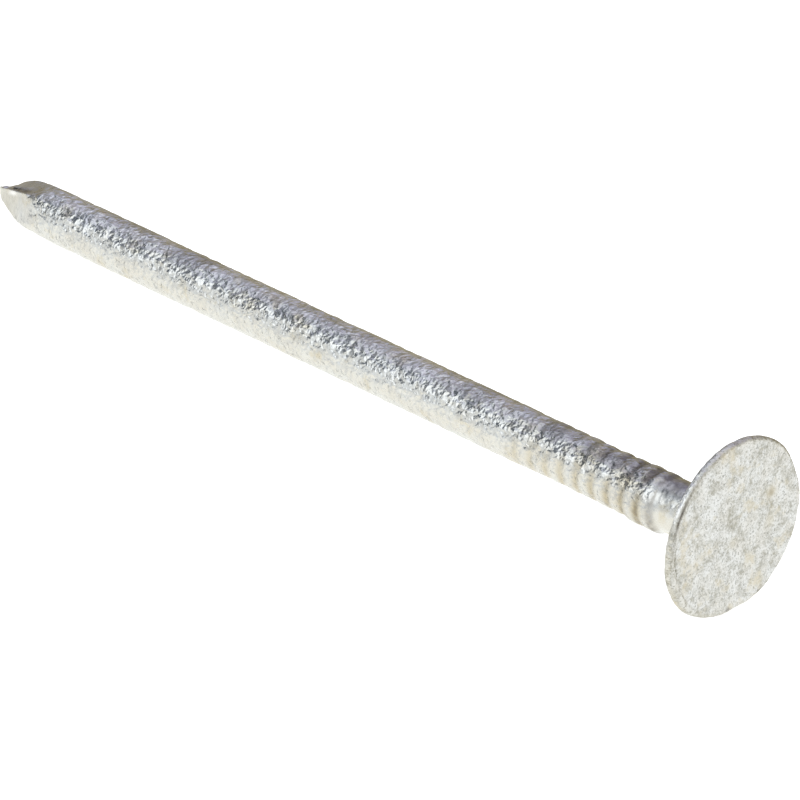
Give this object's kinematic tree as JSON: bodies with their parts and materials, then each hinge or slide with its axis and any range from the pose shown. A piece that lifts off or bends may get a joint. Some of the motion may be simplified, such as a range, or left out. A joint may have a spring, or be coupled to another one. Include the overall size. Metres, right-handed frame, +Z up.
{
  "type": "clout nail",
  "caption": "Galvanised clout nail with a broad flat head, a round wire shank with gripper marks under the head, and a pinched diamond point.",
  "frame": {"origin": "Middle of the underside of the nail's box, on the surface that the nail lies on.", "axes": "+X along the nail from the point towards the head, +Z up. The nail lies on its side, on the rim of its head and the end of its shank, so its own axis rises 3.28 degrees towards the head in the X-Z plane."},
  "size_m": [0.0652, 0.0112, 0.0111],
  "materials": {
    "drawn_steel": "satin",
    "hot_dip_zinc": "satin"
  },
  "bodies": {
    "root": {"steel_core": "drawn_steel", "zinc_coating": "hot_dip_zinc"}
  },
  "joints": []
}
